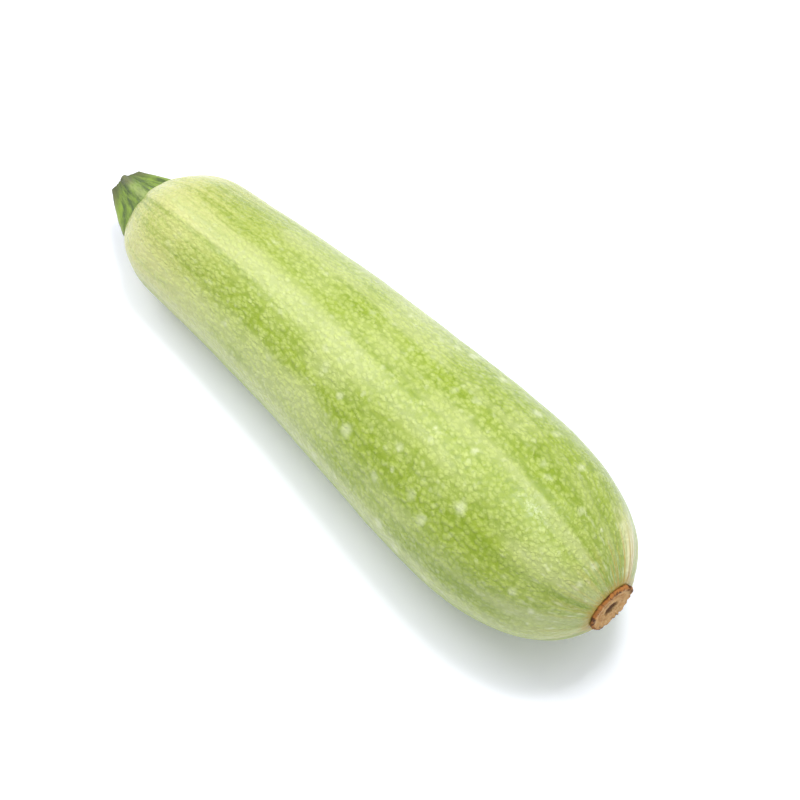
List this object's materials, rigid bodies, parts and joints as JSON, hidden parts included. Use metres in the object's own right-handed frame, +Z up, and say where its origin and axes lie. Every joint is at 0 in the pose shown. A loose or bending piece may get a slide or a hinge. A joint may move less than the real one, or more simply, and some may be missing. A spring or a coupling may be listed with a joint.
{
  "type": "zucchini",
  "caption": "Pale-green zucchini lying on its side, narrower at the ridged stem stump and fuller at the blossom end; an edible vegetable.",
  "frame": {"origin": "centre of the bounding box in plan, at the height of the surface the zucchini lies on", "axes": "+X along the fruit from the stem end to the blossom end, +Z up from the surface, +Y sideways"},
  "size_m": [0.2106, 0.0608, 0.0616],
  "materials": {
    "skin": "waxy satin, flecked pale on green",
    "stalk": "fibrous and matte, drier towards the cut",
    "cork": "dry, corky and matte"
  },
  "bodies": {
    "root": {"fruit": "skin", "stem": "stalk", "blossom_scar": "cork"}
  },
  "joints": []
}
